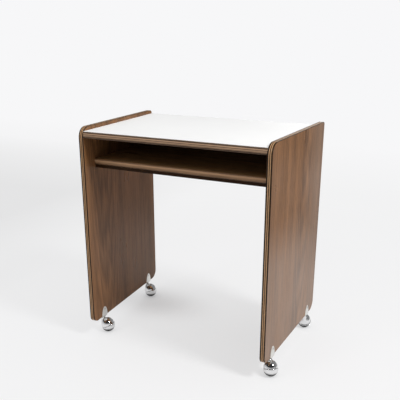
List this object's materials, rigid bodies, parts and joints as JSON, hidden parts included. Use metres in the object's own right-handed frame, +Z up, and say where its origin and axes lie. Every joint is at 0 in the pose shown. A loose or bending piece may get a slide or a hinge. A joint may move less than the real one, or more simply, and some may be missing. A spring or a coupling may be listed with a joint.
{
  "type": "typewriter table",
  "caption": "Small typewriter table: toed-out plywood side panels on ball casters carry a laminate worktop over an open bay with a shelf, front rail and back panel.",
  "frame": {"origin": "on the floor, midway between the side panels at half their depth, which is the centre of the table's box to within 2 mm", "axes": "+Z up; +X to the right for a person sitting at the table; +Y to the back; the open front of the bay faces -Y"},
  "size_m": [0.6368, 0.4202, 0.68],
  "materials": {
    "walnut_plywood": "walnut-stained plywood, satin lacquer, plies showing on the rounded edges",
    "white_laminate": "off-white plastic laminate with a satin sheen and a dark edge line",
    "birch_plywood": "plywood core, plies showing on its front edge",
    "backing_laminate": "thin brown balancing laminate, matt",
    "shelf_plywood": "walnut-stained plywood, satin lacquer",
    "dark_stained_rail": "dark-stained hardwood, satin",
    "beech": "plain beech dowel",
    "zinc": "die-cast zinc, dull",
    "plated_steel": "zinc-plated steel",
    "chrome": "bright chrome plate",
    "satin_nickel": "pale satin nickel plate"
  },
  "bodies": {
    "table": {"left_side_panel": "walnut_plywood", "right_side_panel": "walnut_plywood", "worktop_laminate": "white_laminate", "worktop_core": "birch_plywood", "worktop_backing": "backing_laminate", "shelf_board": "shelf_plywood", "back_panel": "shelf_plywood", "shelf_front_rail": "dark_stained_rail", "worktop_dowels": "beech", "shelf_dowels": "beech", "back_dowels": "beech", "worktop_cams": "zinc", "shelf_cams": "zinc", "worktop_cam_pins": "plated_steel", "shelf_cam_pins": "plated_steel", "rail_screws": "plated_steel", "back_screws": "plated_steel", "saddle_screws": "plated_steel", "front_left_saddle": "satin_nickel", "front_left_socket": "plated_steel", "front_right_saddle": "satin_nickel", "front_right_socket": "plated_steel", "rear_left_saddle": "satin_nickel", "rear_left_socket": "plated_steel", "rear_right_saddle": "satin_nickel", "rear_right_socket": "plated_steel"},
    "front_left_caster": {"front_left_stem": "plated_steel", "front_left_grip_ring": "plated_steel", "front_left_hood": "chrome", "front_left_axle": "plated_steel", "front_left_retainer": "plated_steel"},
    "front_left_ball": {"front_left_wheel": "chrome"},
    "front_right_caster": {"front_right_stem": "plated_steel", "front_right_grip_ring": "plated_steel", "front_right_hood": "chrome", "front_right_axle": "plated_steel", "front_right_retainer": "plated_steel"},
    "front_right_ball": {"front_right_wheel": "chrome"},
    "rear_left_caster": {"rear_left_stem": "plated_steel", "rear_left_grip_ring": "plated_steel", "rear_left_hood": "chrome", "rear_left_axle": "plated_steel", "rear_left_retainer": "plated_steel"},
    "rear_left_ball": {"rear_left_wheel": "chrome"},
    "rear_right_caster": {"rear_right_stem": "plated_steel", "rear_right_grip_ring": "plated_steel", "rear_right_hood": "chrome", "rear_right_axle": "plated_steel", "rear_right_retainer": "plated_steel"},
    "rear_right_ball": {"rear_right_wheel": "chrome"}
  },
  "joints": [
    {"name": "front_left_swivel", "type": "hinge", "parent": "table", "child": "front_left_caster", "pos_m": [-0.29004, -0.1507, 0.049], "axis": [0, 0, 1], "continuous": true},
    {"name": "front_left_roll", "type": "hinge", "parent": "front_left_caster", "child": "front_left_ball", "pos_m": [-0.27426, -0.14588, 0.022], "axis": [-0.4042, -0.1236, 0.9063], "continuous": true},
    {"name": "front_right_swivel", "type": "hinge", "parent": "table", "child": "front_right_caster", "pos_m": [0.29004, -0.1507, 0.049], "axis": [0, 0, 1], "continuous": true},
    {"name": "front_right_roll", "type": "hinge", "parent": "front_right_caster", "child": "front_right_ball", "pos_m": [0.29927, -0.16438, 0.022], "axis": [-0.2363, 0.3504, 0.9063], "continuous": true},
    {"name": "rear_left_swivel", "type": "hinge", "parent": "table", "child": "rear_left_caster", "pos_m": [-0.30294, 0.15002, 0.049], "axis": [0, 0, 1], "continuous": true},
    {"name": "rear_left_roll", "type": "hinge", "parent": "rear_left_caster", "child": "rear_left_ball", "pos_m": [-0.28645, 0.14973, 0.022], "axis": [-0.4226, 0.0074, 0.9063], "continuous": true},
    {"name": "rear_right_swivel", "type": "hinge", "parent": "table", "child": "rear_right_caster", "pos_m": [0.30294, 0.15002, 0.049], "axis": [0, 0, 1], "continuous": true},
    {"name": "rear_right_roll", "type": "hinge", "parent": "rear_right_caster", "child": "rear_right_ball", "pos_m": [0.29979, 0.16622, 0.022], "axis": [0.0806, -0.4149, 0.9063], "continuous": true}
  ]
}
